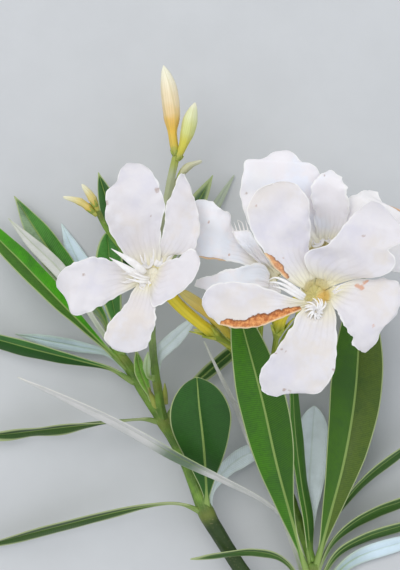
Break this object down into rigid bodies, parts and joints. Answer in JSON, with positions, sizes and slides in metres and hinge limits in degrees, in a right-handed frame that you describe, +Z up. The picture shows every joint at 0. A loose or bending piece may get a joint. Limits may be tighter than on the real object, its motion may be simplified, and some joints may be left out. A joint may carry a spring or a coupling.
{
  "type": "cut flowering oleander branch",
  "caption": "Cut garden oleander branch lying flat, with narrow leaves in whorls, a head of open white flowers and pale pointed buds.",
  "frame": {"origin": "middle of the bounding box across and along, at the surface the branch lies on", "axes": "+Z up from the surface, +Y from the cut end of the stem towards the bud tips, +X to the right seen from above"},
  "size_m": [0.1704, 0.2201, 0.068],
  "materials": {
    "bark": "green-brown young bark",
    "green_stem": "smooth light green shoot",
    "leaf": "leathery dark green leaf with a pale midrib",
    "petal": "soft white petal with a cream throat",
    "bud": "cream to yellow-green bud"
  },
  "bodies": {
    "root": {"main_stem": "bark", "right_stem": "green_stem", "left_stem": "green_stem", "left_shoot": "green_stem", "bud_stalk": "green_stem", "flower_stalk": "green_stem", "right_leaf_left": "leaf", "right_leaf_right": "leaf", "right_leaf_upright": "leaf", "right_leaf_long": "leaf", "right_leaf_thin": "leaf", "right_leaf_rising": "leaf", "right_leaf_wide": "leaf", "right_leaf_low": "leaf", "right_leaf_bottom": "leaf", "right_leaf_under": "leaf", "right_leaf_arching": "leaf", "left_leaf_spoon": "leaf", "left_leaf_arching": "leaf", "left_leaf_curved": "leaf", "left_leaf_narrow": "leaf", "left_leaf_hidden": "leaf", "left_leaf_young": "leaf", "left_leaf_dark": "leaf", "left_leaf_behind": "leaf", "left_leaf_bright": "leaf", "left_leaf_white": "leaf", "left_leaf_upper": "leaf", "left_leaf_tip": "leaf", "left_leaf_blunt": "leaf", "shoot_leaf_slip": "leaf", "shoot_leaf_pale": "leaf", "shoot_leaf_pointed": "leaf", "shoot_leaf_green": "leaf", "shoot_leaf_narrow": "leaf", "flower_left": "petal", "flower_middle": "petal", "flower_front": "petal", "flower_back": "petal", "tall_bud": "bud", "second_bud": "bud", "spent_bud": "bud", "side_bud_left": "bud", "side_bud_right": "bud", "ochre_bud": "bud", "green_bud": "bud"}
  },
  "joints": []
}
